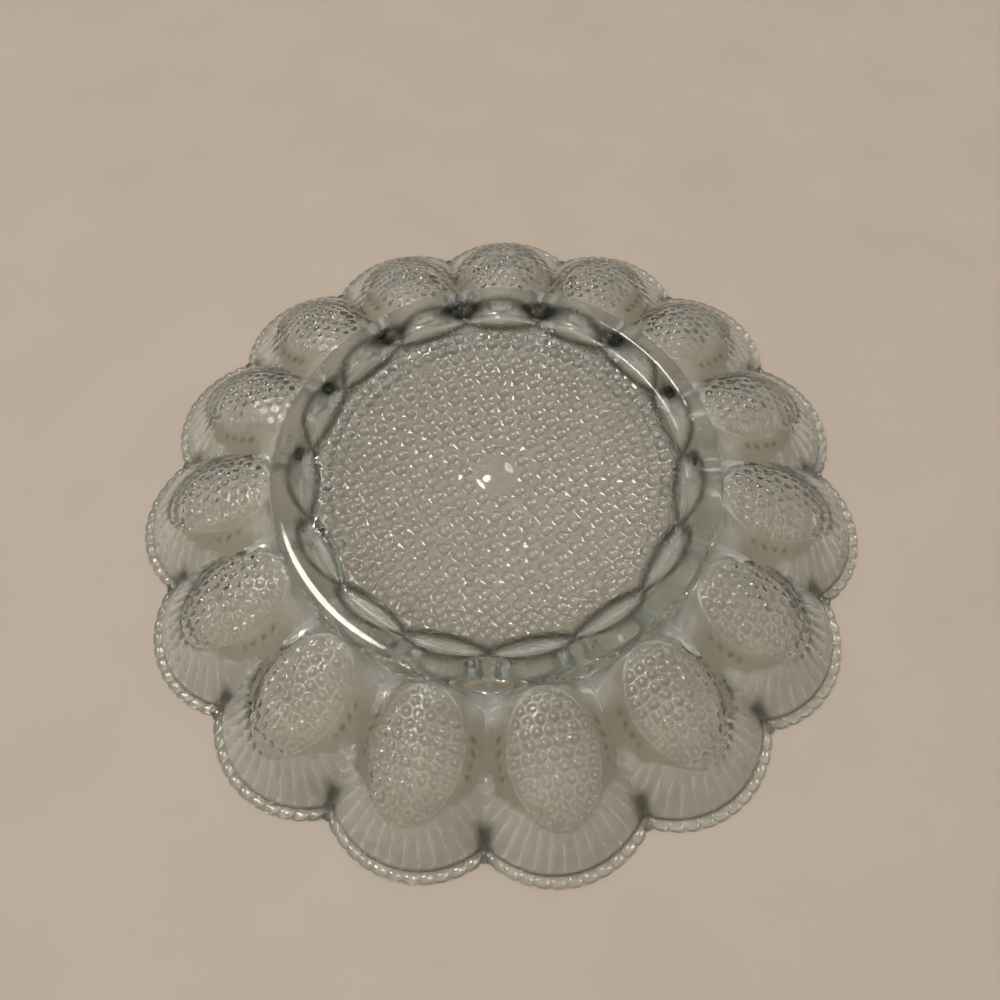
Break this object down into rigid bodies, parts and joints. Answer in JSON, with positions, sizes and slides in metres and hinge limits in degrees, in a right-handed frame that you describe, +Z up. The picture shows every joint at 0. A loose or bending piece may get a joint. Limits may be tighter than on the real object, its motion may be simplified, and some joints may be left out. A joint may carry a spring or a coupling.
{
  "type": "deviled egg platter",
  "caption": "Round pressed-glass deviled egg platter with a scalloped beaded rim, hobnailed egg wells and a dished centre, lying on its rim with the foot ring up.",
  "frame": {"origin": "on the platter's axis in the plane of the beaded rim, which is the table as pictured", "axes": "+Z up along the platter's axis from the table to the crest of the foot ring, -X through the axis of egg_well_01"},
  "size_m": [0.2771, 0.2782, 0.0345],
  "materials": {
    "clear_glass": "fire-polished pressed glass, clear with a faint green-grey tint"
  },
  "bodies": {
    "root": {"centre_floor": "clear_glass", "centre_boss": "clear_glass", "hob_ring_01": "clear_glass", "hob_ring_02": "clear_glass", "hob_ring_03": "clear_glass", "hob_ring_04": "clear_glass", "hob_ring_05": "clear_glass", "hob_ring_06": "clear_glass", "hob_ring_07": "clear_glass", "hob_ring_08": "clear_glass", "hob_ring_09": "clear_glass", "hob_ring_10": "clear_glass", "gallery_wall": "clear_glass", "foot_ring": "clear_glass", "egg_well_01": "clear_glass", "egg_well_02": "clear_glass", "egg_well_03": "clear_glass", "egg_well_04": "clear_glass", "egg_well_05": "clear_glass", "egg_well_06": "clear_glass", "egg_well_07": "clear_glass", "egg_well_08": "clear_glass", "egg_well_09": "clear_glass", "egg_well_10": "clear_glass", "egg_well_11": "clear_glass", "egg_well_12": "clear_glass", "egg_well_13": "clear_glass", "egg_well_14": "clear_glass", "egg_well_15": "clear_glass", "lobe_01": "clear_glass", "lobe_02": "clear_glass", "lobe_03": "clear_glass", "lobe_04": "clear_glass", "lobe_05": "clear_glass", "lobe_06": "clear_glass", "lobe_07": "clear_glass", "lobe_08": "clear_glass", "lobe_09": "clear_glass", "lobe_10": "clear_glass", "lobe_11": "clear_glass", "lobe_12": "clear_glass", "lobe_13": "clear_glass", "lobe_14": "clear_glass", "lobe_15": "clear_glass"}
  },
  "joints": []
}
